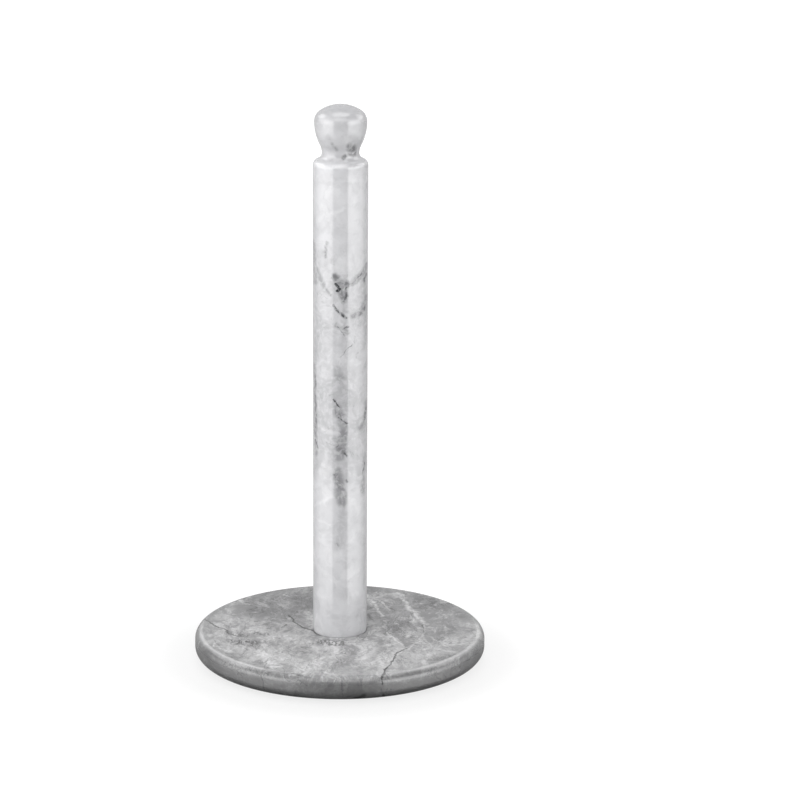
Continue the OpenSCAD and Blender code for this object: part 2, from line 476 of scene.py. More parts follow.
def make_hairlines():
    """Thin wandering lines, which follow one level of a noise field."""
    tree, given, out = new_group("hairlines", [
        ("Place", VECTOR, None), ("Size", FLOAT, 8.0), ("Width", FLOAT, 0.02),
        ("Detail", FLOAT, 3.0), ("Level", FLOAT, 0.5),
    ], [("Mask", FLOAT)])
    noise = node(tree, "ShaderNodeTexNoise", {
        "Vector": given["Place"], "Scale": maths(tree, "DIVIDE", 1.0, given["Size"]),
        "Detail": given["Detail"], "Roughness": 0.6,
    })
    away = maths(tree, "ABSOLUTE", maths(tree, "SUBTRACT", noise.outputs["Fac"], given["Level"]))
    tree.links.new(ramp(tree, away, 0.0, given["Width"], 1.0, 0.0), out["Mask"])
    return tree


def make_shards():
    """Broken pieces of stone set in paler seams: a tone for each piece, and the seams' mask."""
    tree, given, out = new_group("shards", [
        ("Place", VECTOR, None), ("Size", FLOAT, 15.0), ("Seam", FLOAT, 0.05),
    ], [("Tone", FLOAT), ("Seam", FLOAT)])
    size = maths(tree, "DIVIDE", 1.0, given["Size"])
    inputs = {"Vector": given["Place"], "Scale": size, "Randomness": 1.0}
    edge = node(tree, "ShaderNodeTexVoronoi", inputs, feature="DISTANCE_TO_EDGE")
    cell = node(tree, "ShaderNodeTexVoronoi", inputs, feature="F1")
    tone = node(tree, "ShaderNodeSeparateColor", {0: cell.outputs["Color"]}).outputs[0]
    tree.links.new(tone, out["Tone"])
    tree.links.new(ramp(tree, edge.outputs["Distance"], 0.0, given["Seam"], 1.0, 0.0), out["Seam"])
    return tree


def make_polish():
    """A hand-polished surface: roughness that varies a little, and very shallow unevenness."""
    tree, given, out = new_group("polish", [
        ("Place", VECTOR, None), ("Smoothest", FLOAT, 0.08), ("Roughest", FLOAT, 0.18),
    ], [("Roughness", FLOAT), ("Height", FLOAT)])
    broad_size, fine_size = 9, 0.7
    broad = node(tree, "ShaderNodeTexNoise", {
        "Vector": given["Place"], "Scale": 1 / broad_size, "Detail": 5.0})
    fine = node(tree, "ShaderNodeTexNoise", {
        "Vector": given["Place"], "Scale": 1 / fine_size, "Detail": 2.0})
    rough = ramp(tree, broad.outputs["Fac"], 0.35, 0.7, given["Smoothest"], given["Roughest"])
    height = maths(tree, "ADD", maths(tree, "MULTIPLY", broad.outputs["Fac"], 0.8),
                   maths(tree, "MULTIPLY", fine.outputs["Fac"], 0.06))
    tree.links.new(rough, out["Roughness"])
    tree.links.new(height, out["Height"])
    return tree


def make_around_post():
    """Unrolls the post: millimetres round it from the front, to the right, and millimetres up."""
    tree, given, out = new_group("around post", [("Place", VECTOR, None)], [("Place", VECTOR)])
    part = node(tree, "ShaderNodeSeparateXYZ", {0: given["Place"]}).outputs
    turn = maths(tree, "ARCTAN2", part["X"], maths(tree, "MULTIPLY", part["Y"], -1.0))
    round_it = maths(tree, "MULTIPLY", turn, post_r / MM)
    flat = node(tree, "ShaderNodeCombineXYZ", {0: round_it, 1: part["Z"]})
    tree.links.new(flat.outputs[0], out["Place"])
    return tree


CLOUDS = make_clouds()
WOBBLE = make_wobble()
STREAK = make_streak()
HAIRLINES = make_hairlines()
SHARDS = make_shards()
POLISH = make_polish()
AROUND_POST = make_around_post()


# ---------------------------------------------------------------- materials

def new_material(name):
    """Starts a material, and gives its tree, its shader and each point's place in millimetres."""
    material = bpy.data.materials.new(name)
    material.use_nodes = True
    tree = material.node_tree
    shader = tree.nodes["Principled BSDF"]
    place = node(tree, "ShaderNodeTexCoord").outputs["Object"]
    return material, tree, shader, scaled(tree, place, 1 / MM)


def connect(tree, shader, **sockets):
    """Links sockets to a shader's inputs. Base_Color stands for the input Base Color."""
    for label, value in sockets.items():
        tree.links.new(value, shader.inputs[label.replace("_", " ")])


def bump(tree, height, depth):
    """A normal that follows a height, with its full depth in metres."""
    made = node(tree, "ShaderNodeBump", {"Height": height, "Distance": depth, "Strength": 1.0})
    return made.outputs[0]


def clouds(tree, place, size, low, high, shift=0.0, rough=0.55):
    """A mask of soft patches. A shift gives patches of the same kind in other places."""
    inputs = {"Place": place, "Patch Size": size, "Low": low, "High": high,
              "Roughness": rough, "Shift": shift}
    return use(tree, CLOUDS, inputs)["Mask"]


def wobbled(tree, place, source, size, reach):
    """A place pushed about by noise of a given size, by up to about reach millimetres."""
    inputs = {"Place": place, "Source": source, "Size": size, "Reach": reach}
    return use(tree, WOBBLE, inputs)["Place"]


def hairlines(tree, place, size, width, detail):
    """A mask of thin wandering lines."""
    inputs = {"Place": place, "Size": size, "Width": width, "Detail": detail}
    return use(tree, HAIRLINES, inputs)["Mask"]


def draw_streaks(tree, place, streaks):
    """The strongest of a list of streaks: (line of places, width, core, strength)."""
    mask = None
    for line, width, core, strength in streaks:
        for start, end in zip(line, line[1:]):
            inputs = {"Place": place, "From": (*start, 0), "To": (*end, 0),
                      "Width": width, "Core": core, "Strength": strength}
            one = use(tree, STREAK, inputs)["Mask"]
            mask = one if mask is None else maths(tree, "MAXIMUM", mask, one)
    return mask


# Veins of the post, unrolled: millimetres round from the front, and height.
POST_DARK = [
    ([(6.5, 296.5), (9.5, 293.5)], 4.0, 0.0, 0.55),
    ([(9.5, 295.5), (13.0, 292.5)], 3.4, 0.1, 0.6),
    ([(1.8, 290.7), (5.5, 291.4), (13.5, 291.6)], 1.9, 0.1, 0.62),
    ([(-5.6, 298.0), (-3.0, 295.0)], 2.6, 0.0, 0.34),
    ([(-7.9, 243.6), (-8.9, 235.6)], 1.7, 0.0, 0.42),
    ([(-14.8, 227.4), (-11.0, 221.1), (-9.9, 219.6)], 2.6, 0.0, 0.22),
    ([(-8.4, 217.6), (-5.5, 214.0)], 1.4, 0.0, 0.3),
    ([(-3.1, 225.0), (0.3, 222.6), (3.9, 220.4)], 2.8, 0.1, 0.5),
    ([(-2.6, 221.0), (-0.3, 218.3), (-1.4, 217.0)], 1.5, 0.35, 1.0),
    ([(2.8, 218.6), (3.1, 213.8), (1.4, 211.4)], 1.5, 0.1, 0.7),
    ([(0.6, 221.0), (1.2, 213.0)], 3.2, 0.0, 0.38),
    ([(3.9, 220.4), (7.0, 220.6), (10.0, 223.6), (13.0, 225.2)], 0.8, 0.1, 0.5),
    ([(18.4, 224.0), (15.0, 221.6)], 2.2, 0.0, 0.7),
    ([(-3.9, 208.4), (-1.2, 205.2), (2.7, 201.8)], 1.3, 0.15, 0.85),
    ([(2.2, 202.2), (2.9, 201.6)], 0.9, 0.3, 0.95),
    ([(7.0, 202.6), (10.7, 201.9), (16.5, 205.5)], 2.2, 0.0, 0.5),
    ([(-1.8, 196.4), (0.9, 193.9), (2.9, 191.6)], 0.6, 0.1, 0.5),
    ([(2.2, 196.0), (4.0, 196.6)], 1.0, 0.2, 0.7),
    ([(7.6, 186.4), (3.4, 183.7), (-0.1, 179.2), (-1.3, 174.6)], 0.5, 0.1, 0.5),
    ([(-2.0, 168.6), (1.6, 167.4)], 3.0, 0.0, 0.2),
    ([(-3.5, 155.0), (-0.5, 150.5)], 0.8, 0.25, 0.85),
    ([(-2.4, 147.6), (0.8, 146.2)], 3.0, 0.0, 0.3),
    ([(-1.0, 144.6), (4.2, 140.7)], 0.6, 0.15, 0.7),
    ([(-18.5, 138.0), (-17.2, 129.0), (-14.6, 125.3)], 0.8, 0.1, 0.65),
    ([(-17.5, 166.0), (-16.6, 140.0)], 1.8, 0.0, 0.35),
    ([(18.9, 147.4), (16.2, 141.4), (12.5, 137.6)], 2.6, 0.0, 0.42),
    ([(1.5, 136.8), (2.4, 133.6)], 2.6, 0.0, 0.2),
    ([(-1.8, 128.4), (2.4, 125.0)], 3.4, 0.0, 0.36),
    ([(2.6, 124.2), (3.6, 122.6)], 1.3, 0.1, 0.7),
    ([(17.0, 116.6), (15.2, 111.4)], 1.6, 0.0, 0.5),
    ([(-2.6, 110.4), (0.2, 104.2)], 3.8, 0.0, 0.3),
    ([(-3.0, 111.4), (-2.4, 109.8)], 0.9, 0.1, 0.5),
    ([(3.4, 108.2), (4.0, 107.4)], 1.0, 0.1, 0.5),
    ([(0.6, 97.0), (1.6, 92.0)], 2.8, 0.0, 0.14),
    ([(-1.6, 71.2), (-0.9, 69.8)], 1.0, 0.0, 0.4),
    ([(29.0, 232.0), (33.0, 221.0), (30.0, 212.0)], 1.2, 0.1, 0.5),
    ([(31.0, 226.0), (36.5, 217.0)], 3.6, 0.0, 0.4),
    ([(-30.0, 201.0), (-25.0, 192.0), (-27.0, 184.0), (-23.0, 176.0)], 0.8, 0.15, 0.6),
    ([(-34.0, 196.0), (-27.0, 187.0)], 3.4, 0.0, 0.35),
    ([(42.0, 168.0), (37.0, 158.0), (38.5, 149.0)], 0.8, 0.2, 0.65),
    ([(38.0, 156.0), (36.0, 144.0)], 3.6, 0.0, 0.42),
    ([(26.0, 128.0), (30.0, 119.0)], 2.6, 0.0, 0.4),
    ([(-40.0, 133.0), (-35.0, 122.0), (-37.0, 114.0)], 0.7, 0.15, 0.55),
    ([(-24.0, 254.0), (-28.0, 243.0)], 1.1, 0.0, 0.4),
    ([(35.0, 262.0), (38.0, 250.0)], 1.3, 0.0, 0.35),
]
POST_PALE = [
    ([(-19.0, 90.5), (-11.0, 95.0), (-4.2, 99.0)], 1.6, 0.0, 0.35),
    ([(-8.0, 126.0), (-9.0, 118.0), (-13.0, 112.0)], 2.4, 0.0, 0.28),
    ([(-11.0, 137.0), (-2.0, 135.5)], 2.6, 0.0, 0.4),
    ([(-17.0, 84.0), (-6.0, 82.0)], 1.2, 0.0, 0.28),
    ([(22.0, 180.0), (29.0, 171.0), (40.0, 176.0)], 1.2, 0.0, 0.4),
    ([(-36.0, 92.0), (-28.0, 84.0)], 1.4, 0.0, 0.4),
]

# Smoky patches of the post, placed in the same way.
POST_SMOKE = [
    ([(-19.0, 172.0), (-18.0, 150.0), (-16.5, 122.0)], 5.0, 0.0, 0.85),
    ([(-15.5, 228.0), (-9.0, 217.0)], 4.5, 0.0, 0.6),
    ([(-3.0, 225.0), (1.0, 214.0)], 3.6, 0.1, 0.75),
    ([(4.0, 221.0), (2.0, 211.0)], 3.4, 0.1, 0.75),
    ([(2.0, 206.0), (14.0, 203.0)], 4.5, 0.0, 0.55),
    ([(-10.0, 238.0), (-7.0, 228.0)], 3.5, 0.0, 0.4),
    ([(3.0, 198.0), (0.0, 186.0)], 4.5, 0.0, 0.45),
    ([(-1.5, 172.0), (1.0, 160.0)], 4.6, 0.2, 0.6),
    ([(-1.0, 150.0), (2.0, 139.0)], 4.6, 0.3, 0.85),
    ([(1.5, 136.0), (-0.5, 122.0)], 4.8, 0.3, 0.9),
    ([(18.6, 150.0), (15.5, 136.0)], 4.6, 0.0, 0.8),
    ([(17.0, 120.0), (15.0, 100.0)], 4.6, 0.0, 0.7),
    ([(-1.0, 113.0), (1.0, 96.0)], 4.6, 0.3, 0.9),
    ([(9.0, 128.0), (12.0, 108.0)], 5.0, 0.0, 0.4),
    ([(1.0, 88.0), (0.0, 70.0)], 4.4, 0.0, 0.4),
    ([(7.0, 221.0), (13.0, 225.0), (19.0, 229.0)], 3.4, 0.3, 0.9),
    ([(13.0, 203.5), (19.0, 211.0)], 4.6, 0.3, 0.9),
    ([(-20.0, 241.0), (-17.5, 221.0)], 4.4, 0.2, 0.75),
    ([(-2.0, 197.0), (4.0, 193.5)], 2.8, 0.2, 0.8),
    ([(5.0, 287.0), (24.0, 286.0)], 5.0, 0.0, 0.4),
]


def white_marble():
    """Pale marble: milky and grey clouds, smoky patches, dark broken veins, and painted shade on the
    crown and on a band of the shoulder.
    """
    material, tree, shader, place = new_material("white marble")
    flat = use(tree, AROUND_POST, {"Place": place})["Place"]
    ragged = wobbled(tree, flat, place, 5.0, 1.4)
    ragged = wobbled(tree, ragged, place, 1.2, 0.45)
    swirled = wobbled(tree, place, place, 14.0, 7.0)

    broad = clouds(tree, swirled, 24.0, 0.36, 0.66)
    small = clouds(tree, swirled, 6.0, 0.42, 0.72, 40.0)
    milky = clouds(tree, swirled, 9.0, 0.52, 0.7, -90.0)
    grain = clouds(tree, place, 0.9, 0.3, 0.7)

    # Most of the veining is on the middle of the post.
    height = node(tree, "ShaderNodeSeparateXYZ", {0: flat}).outputs[1]
    veined = maths(tree, "MULTIPLY", ramp(tree, height, 95.0, 130.0),
                   ramp(tree, height, 215.0, 250.0, 1.0, 0.0))
    threads = hairlines(tree, swirled, 22.0, 0.012, 4.0)
    in_clouds = maths(tree, "MULTIPLY", threads, small)
    faint = maths(tree, "MULTIPLY", in_clouds, ramp(tree, veined, 0.0, 1.0, 0.08, 0.3))

    # The drawn veins break up into crumbs.
    dark = draw_streaks(tree, ragged, POST_DARK)
    pale = draw_streaks(tree, ragged, POST_PALE)
    crumbs = clouds(tree, swirled, 2.6, 0.3, 0.62, 15.0)
    dark = maths(tree, "MULTIPLY", dark, ramp(tree, crumbs, 0.0, 1.0, 0.5, 1.12))
    dark = maths(tree, "MAXIMUM", dark, faint)

    colour = blend(tree, broad, (0.66, 0.66, 0.675, 1), (0.585, 0.585, 0.6, 1))
    colour = blend(tree, maths(tree, "MULTIPLY", small, 0.5), colour, (0.50, 0.50, 0.515, 1))
    colour = blend(tree, maths(tree, "MULTIPLY", milky, 0.5), colour, (0.75, 0.75, 0.76, 1))
    colour = blend(tree, maths(tree, "MULTIPLY", grain, 0.12), colour, (0.54, 0.54, 0.55, 1))

    # Smoke and painted shade: drawn smoky patches and a haze over the veined part, plus painted shade
    # that greys the crown and a band on the shoulder.
    haze = maths(tree, "MULTIPLY", veined, ramp(tree, broad, 0.0, 1.0, 0.55, 1.15))
    smoke_and_shade = maths(tree, "MULTIPLY", draw_streaks(tree, ragged, POST_SMOKE),
                  ramp(tree, crumbs, 0.0, 1.0, 0.45, 1.0))
    smoke_and_shade = maths(tree, "MAXIMUM", smoke_and_shade,
                  maths(tree, "MULTIPLY", haze, ramp(tree, crumbs, 0.0, 1.0, 0.16, 0.42)))
    # Painted shade: the crown greys towards the top.
    crown = ramp(tree, height, post_top_mm - 16.0, post_top_mm, 0.0, 0.85)
    smoke_and_shade = maths(tree, "MAXIMUM", smoke_and_shade, crown)
    # Painted shade: a darker band on the shoulder, which faces the top light.
    shoulder = maths(tree, "MULTIPLY", ramp(tree, height, 286.0, 287.6),
                     ramp(tree, height, 288.5, 293.0, 0.4, 0.0))
    smoke_and_shade = maths(tree, "MAXIMUM", smoke_and_shade, shoulder)
    colour = blend(tree, smoke_and_shade, colour, (0.3, 0.3, 0.31, 1))
    colour = blend(tree, pale, colour, (0.78, 0.78, 0.79, 1))
    colour = blend(tree, dark, colour, (0.045, 0.046, 0.05, 1))

    polish = use(tree, POLISH, {"Place": place, "Smoothest": 0.1, "Roughest": 0.2})
    connect(tree, shader, Base_Color=colour, Roughness=polish["Roughness"],
            Normal=bump(tree, polish["Height"], 0.00002))
    shader.inputs["IOR"].default_value = 1.55
    return material


# Marks on the base, in millimetres from its middle: to the right, and to the back.
BASE_DARK_CLOUDS = [
    ([(-48, 46), (-36, 52)], 15, 0.1, 0.75),
    ([(-42, 32), (-30, 22)], 19, 0.2, 0.8),
    ([(-24, 54), (-22, 40)], 15, 0.1, 0.85),
    ([(-34, 0), (-27, 4)], 12, 0.0, 0.6),
    ([(0, 60), (12, 66)], 18, 0.2, 0.7),
    ([(18, 34), (24, 14)], 14, 0.1, 0.9),
    ([(33, 10), (30, -4)], 11, 0.1, 0.8),
    ([(48, 50), (56, 40)], 15, 0.1, 0.8),
    ([(60, -6), (64, 2)], 10, 0.0, 0.6),
    ([(36, -48), (34, -54)], 7, 0.2, 0.9),
    ([(-8, -62), (4, -58)], 12, 0.0, 0.6),
    ([(-52, -30), (-46, -38)], 9, 0.0, 0.35),
    ([(8, -46), (4, -36)], 9, 0.0, 0.5),
    ([(70, 20), (72, 30)], 10, 0.0, 0.5),
]
BASE_PALE_CLOUDS = [
    ([(-44, -40), (-36, -62)], 8, 0.0, 0.75),
    ([(-14, -58), (-20, -70)], 9, 0.0, 0.7),
    ([(16, -26), (14, -56)], 8, 0.0, 0.7),
    ([(-68, 20), (-54, 12)], 11, 0.0, 0.35),
    ([(56, -30), (66, -22)], 10, 0.0, 0.45),
    ([(-6, -30), (2, -44)], 7, 0.0, 0.4),
    ([(-56, -30), (-24, -58)], 20, 0.0, 0.4),
    ([(24, -58), (56, -34)], 20, 0.0, 0.4),
]
BASE_SEAMS = [
    ([(34, 65), (38, 51), (41, 35), (47, 14), (49, 8)], 2.4, 0.1, 0.85),
    ([(49, 8), (46, -12), (44, -21), (38, -36)], 1.3, 0.1, 0.7),
    ([(19, 51), (22, 31), (24, 22)], 1.4, 0.1, 0.75),
    ([(20, 53), (28, 62), (34, 65)], 1.3, 0.1, 0.6),
    ([(20, 55), (26, 42), (30, 33)], 0.9, 0.1, 0.5),
    ([(46, -16), (54, -34), (63, -40)], 1.3, 0.1, 0.65),
    ([(44, -22), (50, -46)], 0.9, 0.1, 0.6),
    ([(48, -10), (60, -28), (74, -24)], 1.2, 0.0, 0.55),
    ([(36, -34), (46, -20)], 1.0, 0.1, 0.55),
    ([(26, -6), (31, -18), (36, -31)], 0.9, 0.2, 0.9),
    ([(-44, -20), (-40, -49), (-37, -68)], 1.1, 0.0, 0.6),
    ([(-40, -22), (-30, -16), (-18, -22), (-15, -33), (-24, -44), (-36, -38), (-40, -24)],
     1.2, 0.0, 0.45),
    ([(-15, -72), (-10, -58), (-4, -76)], 1.4, 0.0, 0.35),
    ([(2, -24), (12, -18), (20, -20)], 0.9, 0.0, 0.5),
]
BASE_SHARD = [
    ([(31, -18), (33, -30)], 3.0, 0.7, 0.9),
    ([(32, -34), (25, -48)], 5.2, 0.8, 0.95),
    ([(25, -50), (21.5, -76)], 2.8, 0.7, 0.9),
]
BASE_CRACKS = [
    ([(-80, 22), (-74, 9), (-69, 1), (-66, 0), (-63, -9), (-58, -13), (-55, -9)], 0.9, 0.2, 0.9),
    ([(-30, 24), (-26, 12), (-22, 2), (-16, -1), (-13, -9), (-9, -11), (-4, -14)], 0.95, 0.25, 0.95),
    ([(-34, 1), (-31, 8)], 0.8, 0.2, 0.75),
    ([(-48, -5), (-45, -9), (-41, -7)], 0.5, 0.2, 0.55),
    ([(-37, 43), (-33, 34)], 0.7, 0.1, 0.5),
    ([(37, -33), (34, -38), (31, -43), (29, -51), (27, -59), (25, -70), (23, -78)], 0.8, 0.3, 1.0),
    ([(48, 6), (47, -6)], 0.7, 0.2, 0.7),
    ([(26, -36), (22, -50)], 0.45, 0.1, 0.5),
    ([(-70, -20), (-66, -32)], 0.5, 0.1, 0.4),
    ([(-40, -50), (-41, -64), (-43, -74)], 0.8, 0.1, 0.5),
    ([(17, 25), (18, 15)], 1.2, 0.0, 0.6),
    ([(-62, 44), (-40, 66), (-30, 76)], 0.5, 0.1, 0.35),
    ([(4, 30), (10, 44), (6, 58)], 0.5, 0.1, 0.4),
    ([(-42, -68), (-30, -74), (-16, -78)], 1.1, 0.2, 0.6),
]
BASE_RAGGED_SPOTS = [
    ([(-59, -22), (-49, -25)], 6.5, 0.3, 1.0),
    ([(-10, -23), (0, -25)], 6.5, 0.3, 1.0),
    ([(-62, -8), (-54, -12)], 5.0, 0.2, 0.8),
    ([(-49, -6), (-42, -10)], 5.0, 0.2, 0.7),
    ([(28, -38), (22, -60)], 5.0, 0.2, 0.45),
    ([(52, -52), (60, -48)], 5.0, 0.2, 0.5),
]


def grey_marble():
    """Grey marble: clouds, seams and cracks, with painted shade that darkens the top towards the
    back, a painted highlight as a pale ring on the rim, and painted shade that darkens the side
    towards its foot.
    """
    material, tree, shader, place = new_material("grey marble")
    ragged = wobbled(tree, place, place, 9.0, 3.0)
    ragged = wobbled(tree, ragged, place, 2.0, 1.0)
    level = vector_maths(tree, "MULTIPLY", ragged, (1, 1, 0))
    swirled = wobbled(tree, place, place, 20.0, 9.0)
    bedded = vector_maths(tree, "MULTIPLY", swirled, (1, 0.5, 1))

    part = node(tree, "ShaderNodeSeparateXYZ", {0: place}).outputs
    right, back, up = part[0], part[1], part[2]
    out = vector_maths(tree, "LENGTH", vector_maths(tree, "MULTIPLY", place, (1, 1, 0)), out=1)
    edge = maths(tree, "MULTIPLY", ramp(tree, out, rim_mm - 4.9, rim_mm - 3.5),
                 ramp(tree, up, 9.5, 12.0))

    broad = clouds(tree, bedded, 30.0, 0.4, 0.6, 0.0, 0.7)
    middling = clouds(tree, bedded, 10.0, 0.43, 0.6, 30.0, 0.72)
    small = clouds(tree, bedded, 3.4, 0.42, 0.62, -25.0, 0.75)
    milky = clouds(tree, bedded, 9.0, 0.5, 0.64, -60.0, 0.75)
    flecks = clouds(tree, place, 1.3, 0.42, 0.7, 75.0, 0.7)
    shards = use(tree, SHARDS, {"Place": ragged, "Size": 24.0, "Seam": 0.05})

    # Clouds, with painted shade that darkens the top towards the back, and each broken piece of a
    # slightly different tone.
    colour = blend(tree, broad, (0.46, 0.46, 0.463, 1), (0.32, 0.32, 0.323, 1))
    colour = blend(tree, maths(tree, "MULTIPLY", middling, 0.62), colour, (0.17, 0.17, 0.173, 1))
    painted_shade_towards_back = ramp(tree, back, -20.0, 45.0, 0.0, 0.3)
    colour = blend(tree, painted_shade_towards_back, colour, (0.14, 0.14, 0.143, 1))
    colour = blend(tree, maths(tree, "MULTIPLY", milky, 0.6), colour, (0.55, 0.55, 0.555, 1))
    shade = ramp(tree, shards["Tone"], 0.0, 1.0, 0.0, 0.22, "LINEAR")
    colour = blend(tree, shade, colour, (0.12, 0.12, 0.122, 1))
    colour = blend(tree, maths(tree, "MULTIPLY", small, 0.45), colour, (0.17, 0.17, 0.172, 1))

    # The drawn dark and pale patches.
    shadow = draw_streaks(tree, level, BASE_DARK_CLOUDS)
    shadow = maths(tree, "MULTIPLY", shadow, ramp(tree, small, 0.0, 1.0, 0.5, 0.9))
    colour = blend(tree, shadow, colour, (0.1, 0.1, 0.103, 1))
    light = draw_streaks(tree, level, BASE_PALE_CLOUDS)
    light = maths(tree, "MULTIPLY", light, ramp(tree, small, 0.0, 1.0, 0.95, 0.35))
    colour = blend(tree, light, colour, (0.6, 0.6, 0.605, 1))

    # Pale seams, the pale shard and dark flecks.
    seam = maths(tree, "MULTIPLY", shards["Seam"], ramp(tree, milky, 0.0, 1.0, 0.0, 0.45))
    drawn = draw_streaks(tree, level, BASE_SEAMS)
    drawn = maths(tree, "MULTIPLY", drawn, ramp(tree, small, 0.0, 1.0, 0.85, 0.4))
    colour = blend(tree, maths(tree, "MAXIMUM", seam, drawn), colour, (0.56, 0.56, 0.565, 1))
    shard = draw_streaks(tree, level, BASE_SHARD)
    colour = blend(tree, maths(tree, "MULTIPLY", shard, 0.4), colour, (0.58, 0.58, 0.585, 1))
    colour = blend(tree, maths(tree, "MULTIPLY", flecks, 0.4), colour, (0.15, 0.15, 0.152, 1))

    # Cracks: drawn lines, spots of fine wriggles, stray threads, and a chip low on the side.
    crack = draw_streaks(tree, level, BASE_CRACKS)
    crack = maths(tree, "MULTIPLY", crack, ramp(tree, flecks, 0.0, 1.0, 0.7, 1.1))
    drawn_out = vector_maths(tree, "MULTIPLY", place, (1, 0.42, 1))
    wriggle = hairlines(tree, drawn_out, 3.4, 0.09, 4.0)
    spots = maths(tree, "MULTIPLY", wriggle, draw_streaks(tree, level, BASE_RAGGED_SPOTS))
    crack = maths(tree, "MAXIMUM", crack, maths(tree, "MULTIPLY", spots, 0.8))
    threads = hairlines(tree, bedded, 30.0, 0.01, 6.0)
    crack = maths(tree, "MAXIMUM", crack, maths(tree, "MULTIPLY", threads, 0.45))
    chip = use(tree, STREAK, {"Place": ragged, "From": (8.5, -81, 3.4), "To": (12.5, -80.5, 4.2),
                              "Width": 2.4, "Core": 0.2, "Strength": 0.85})["Mask"]
    crack = maths(tree, "MAXIMUM", crack, chip)

    # The side is of a more even tone than the top, and the cracks run over it.
    even = ramp(tree, up, base_top_mm - 4.6, base_top_mm - 0.6, 0.45, 0.0)
    colour = blend(tree, even, colour, (0.25, 0.25, 0.252, 1))
    colour = blend(tree, crack, colour, (0.02, 0.02, 0.021, 1))

    # A painted highlight: a pale ring on the front half of the upper edge, faint in the middle.
    highlight_sideways = ramp(tree, maths(tree, "ABSOLUTE", right), 12.0, 50.0, 0.0, 0.35)
    highlight_sideways = maths(tree, "MULTIPLY", highlight_sideways, ramp(tree, back, -15.0, 30.0, 1.0, 0.1))
    ring = maths(tree, "MULTIPLY", ramp(tree, out, rim_mm - 4.9, rim_mm - 3.2),
                 ramp(tree, out, rim_mm - 3.0, rim_mm - 1.1, 1.0, 0.0))
    colour = blend(tree, maths(tree, "MULTIPLY", ring, highlight_sideways), colour, (0.85, 0.85, 0.855, 1))

    # Painted shade: the side darkens towards its foot.
    low = ramp(tree, up, 3.0, base_top_mm - 0.4, 0.79, 0.28, "LINEAR")
    low = maths(tree, "MULTIPLY", low, ramp(tree, out, rim_mm - 4.1, rim_mm - 1.9))
    colour = blend(tree, low, colour, (0.0, 0.0, 0.0, 1))

    polish = use(tree, POLISH, {"Place": place, "Smoothest": 0.36, "Roughest": 0.48})
    rough = maths(tree, "SUBTRACT", polish["Roughness"], maths(tree, "MULTIPLY", edge, 0.2))
    height = maths(tree, "SUBTRACT", polish["Height"], maths(tree, "MULTIPLY", crack, 0.8))
    connect(tree, shader, Base_Color=colour, Roughness=rough, Normal=bump(tree, height, 0.00003))
    shader.inputs["IOR"].default_value = 1.52
    return material


def plated_steel(name, tint, roughness):
    """Steel with turning marks, and the faint patches of a zinc plating."""
    material, tree, shader, place = new_material(name)
    patches = clouds(tree, place, 2.4, 0.35, 0.65)
    part = node(tree, "ShaderNodeSeparateXYZ", {0: place}).outputs
    out = maths(tree, "SQRT", maths(tree, "ADD", maths(tree, "POWER", part[0], 2.0),
                                    maths(tree, "POWER", part[1], 2.0)))
    rings = node(tree, "ShaderNodeCombineXYZ", {0: out, 1: part[2]}).outputs[0]
    marks = node(tree, "ShaderNodeTexNoise",
                 {"Vector": rings, "Scale": 14.0, "Detail": 3.0}).outputs["Fac"]
    bright = tuple(c * 1.18 for c in tint)
    colour = blend(tree, patches, (*tint, 1), (*bright, 1))
    colour = blend(tree, ramp(tree, patches, 0.7, 1.0, 0.0, 0.3), colour, (0.6, 0.58, 0.48, 1))
    rough = ramp(tree, marks, 0.3, 0.7, roughness - 0.08, roughness + 0.1)
    connect(tree, shader, Base_Color=colour, Roughness=rough, Normal=bump(tree, marks, 0.00001))
    shader.inputs["Metallic"].default_value = 1.0
    return material


def cast_resin():
    """Yellowish resin with fine bubbles."""
    material, tree, shader, place = new_material("cast resin")
    cloudy = clouds(tree, place, 4.0, 0.3, 0.7)
    colour = blend(tree, cloudy, (0.62, 0.5, 0.28, 1), (0.7, 0.6, 0.4, 1))
    bubbles = clouds(tree, place, 0.6, 0.66, 0.72)
    connect(tree, shader, Base_Color=colour, Roughness=ramp(tree, cloudy, 0.0, 1.0, 0.12, 0.25),
            Normal=bump(tree, bubbles, 0.00004))
    return material


def clear_silicone():
    """Milky silicone, for the thin gasket under the post."""
    material, tree, shader, place = new_material("clear silicone")
    cloudy = clouds(tree, place, 3.0, 0.3, 0.7)
    colour = blend(tree, cloudy, (0.7, 0.7, 0.68, 1), (0.78, 0.78, 0.76, 1))
    connect(tree, shader, Base_Color=colour, Roughness=ramp(tree, cloudy, 0.0, 1.0, 0.3, 0.45),
            Normal=bump(tree, cloudy, 0.00002))
    return material


def red_fibre():
    """Pressed red fibre, with its strands all one way."""
    material, tree, shader, place = new_material("red fibre")
    stretched = vector_maths(tree, "MULTIPLY", place, (0.3, 2.4, 2.4))
    strands = clouds(tree, stretched, 0.5, 0.3, 0.7)
    colour = blend(tree, strands, (0.24, 0.055, 0.03, 1), (0.36, 0.1, 0.055, 1))
    connect(tree, shader, Base_Color=colour, Roughness=ramp(tree, strands, 0.0, 1.0, 0.55, 0.75),
            Normal=bump(tree, strands, 0.00004))
    return material


def black_rubber():
    """Stippled black rubber with a little dust."""
    material, tree, shader, place = new_material("black rubber")
    stipple = node(tree, "ShaderNodeTexVoronoi",
                   {"Vector": place, "Scale": 2.2}).outputs["Distance"]
    dust = clouds(tree, place, 3.0, 0.5, 0.75)
    colour = blend(tree, maths(tree, "MULTIPLY", dust, 0.35),
                   (0.022, 0.022, 0.023, 1), (0.12, 0.115, 0.11, 1))
    connect(tree, shader, Base_Color=colour, Roughness=ramp(tree, dust, 0.0, 1.0, 0.6, 0.85),
            Normal=bump(tree, stipple, 0.00006))
    return material


